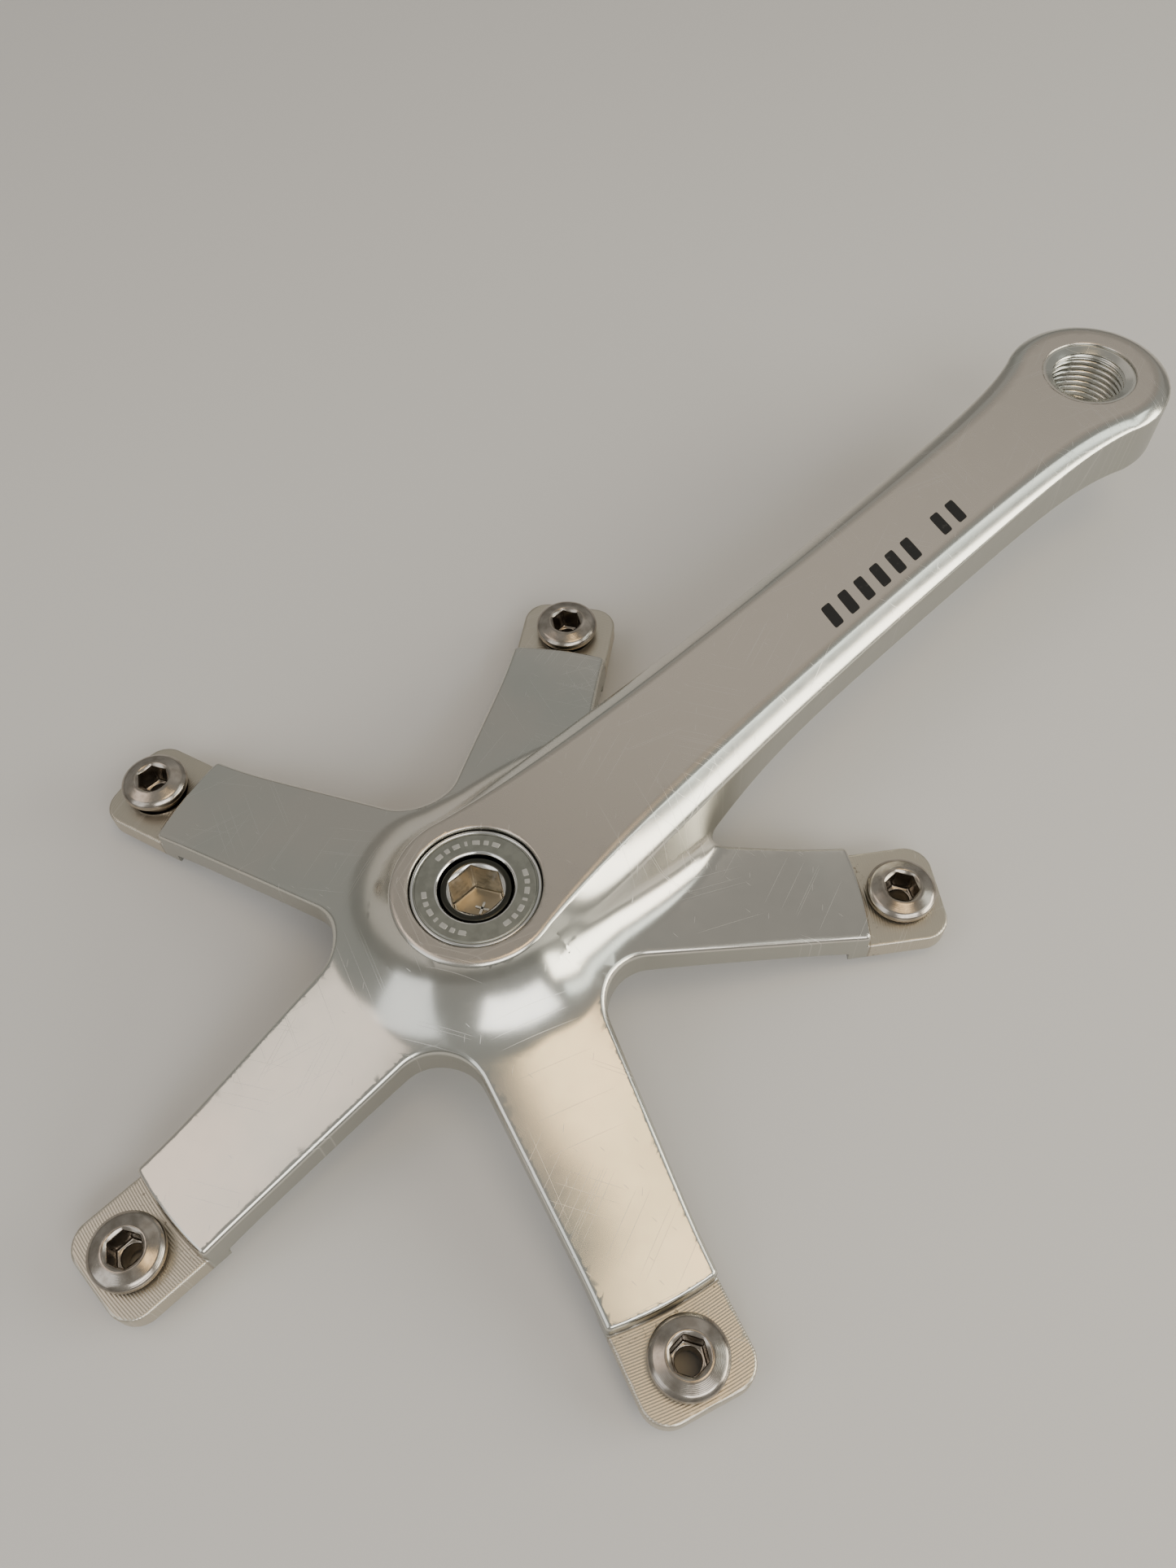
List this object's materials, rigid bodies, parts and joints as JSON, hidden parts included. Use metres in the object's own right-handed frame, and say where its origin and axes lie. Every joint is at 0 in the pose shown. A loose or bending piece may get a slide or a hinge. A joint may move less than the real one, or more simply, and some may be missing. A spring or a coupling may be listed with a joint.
{
  "type": "bicycle crankset",
  "caption": "Right-hand track crank arm forged with a five-arm spider, square-taper boss, release bolt set, and loose chainring bolts with sleeve nuts.",
  "frame": {"origin": "on the spindle axis, in the back (inboard) face of the boss", "axes": "+X towards the pedal axis, +Z outboard along the spindle axis, +Y completing a right-handed frame"},
  "size_m": [0.2602, 0.1536, 0.0334],
  "materials": {
    "polished_forging": "polished forged aluminium with fine scratches, machined tab faces",
    "satin_cap": "satin machined ring with bright bevels and an engraved line pattern",
    "bright_steel": "bright plated steel",
    "nickel_steel": "turned steel with a warm nickel plate",
    "black_nylon": "plain black nylon"
  },
  "bodies": {
    "crank": {"crank_arm": "polished_forging", "crank_bolt_washer": "bright_steel", "extractor_cap": "satin_cap"},
    "slip_washer": {"cap_slip_washer": "black_nylon"},
    "crank_bolt": {"crank_bolt": "bright_steel"},
    "chainring_bolt_1": {"chainring_bolt_1": "nickel_steel"},
    "chainring_nut_1": {"chainring_nut_1": "nickel_steel"},
    "chainring_bolt_2": {"chainring_bolt_2": "nickel_steel"},
    "chainring_nut_2": {"chainring_nut_2": "nickel_steel"},
    "chainring_bolt_3": {"chainring_bolt_3": "nickel_steel"},
    "chainring_nut_3": {"chainring_nut_3": "nickel_steel"},
    "chainring_bolt_4": {"chainring_bolt_4": "nickel_steel"},
    "chainring_nut_4": {"chainring_nut_4": "nickel_steel"},
    "chainring_bolt_5": {"chainring_bolt_5": "nickel_steel"},
    "chainring_nut_5": {"chainring_nut_5": "nickel_steel"}
  },
  "joints": [
    {"name": "slip_washer_float", "type": "slide", "parent": "crank", "child": "slip_washer", "axis": [0, 0, 1], "range_m": [0, 0.0008]},
    {"name": "crank_bolt_turn", "type": "hinge", "parent": "slip_washer", "child": "crank_bolt", "pos_m": [0, 0, 0.021], "axis": [0, 0, 1], "continuous": true},
    {"name": "chainring_nut_1_turn", "type": "hinge", "parent": "crank", "child": "chainring_nut_1", "pos_m": [0.05825, 0.04232, 0.0007], "axis": [0, 0, -1], "range_deg": [0, 2160.5]},
    {"name": "chainring_bolt_1_back_out", "type": "slide", "parent": "crank", "child": "chainring_bolt_1", "axis": [0, 0, 1], "range_m": [0, 0.0045]},
    {"name": "chainring_nut_2_turn", "type": "hinge", "parent": "crank", "child": "chainring_nut_2", "pos_m": [-0.02225, 0.06848, 0.0014], "axis": [0, 0, -1], "range_deg": [0, 2160.5]},
    {"name": "chainring_bolt_2_back_out", "type": "slide", "parent": "crank", "child": "chainring_bolt_2", "axis": [0, 0, 1], "range_m": [0, 0.0045]},
    {"name": "chainring_nut_3_turn", "type": "hinge", "parent": "crank", "child": "chainring_nut_3", "pos_m": [-0.072, 0, 0.0004], "axis": [0, 0, -1], "range_deg": [0, 2160.5]},
    {"name": "chainring_bolt_3_back_out", "type": "slide", "parent": "crank", "child": "chainring_bolt_3", "axis": [0, 0, 1], "range_m": [0, 0.0045]},
    {"name": "chainring_nut_4_turn", "type": "hinge", "parent": "crank", "child": "chainring_nut_4", "pos_m": [-0.02225, -0.06848, 0.0003], "axis": [0, 0, -1], "range_deg": [0, 2160.5]},
    {"name": "chainring_bolt_4_back_out", "type": "slide", "parent": "crank", "child": "chainring_bolt_4", "axis": [0, 0, 1], "range_m": [0, 0.0045]},
    {"name": "chainring_nut_5_turn", "type": "hinge", "parent": "crank", "child": "chainring_nut_5", "pos_m": [0.05825, -0.04232, 0.0001], "axis": [0, 0, -1], "range_deg": [0, 2160.5]},
    {"name": "chainring_bolt_5_back_out", "type": "slide", "parent": "crank", "child": "chainring_bolt_5", "axis": [0, 0, 1], "range_m": [0, 0.0045]}
  ],
  "couplings": [
    {"joint": "chainring_nut_1_turn", "follows": "chainring_bolt_1_back_out", "rad_per_m": 8377.6},
    {"joint": "chainring_nut_2_turn", "follows": "chainring_bolt_2_back_out", "rad_per_m": 8377.6},
    {"joint": "chainring_nut_3_turn", "follows": "chainring_bolt_3_back_out", "rad_per_m": 8377.6},
    {"joint": "chainring_nut_4_turn", "follows": "chainring_bolt_4_back_out", "rad_per_m": 8377.6},
    {"joint": "chainring_nut_5_turn", "follows": "chainring_bolt_5_back_out", "rad_per_m": 8377.6}
  ]
}
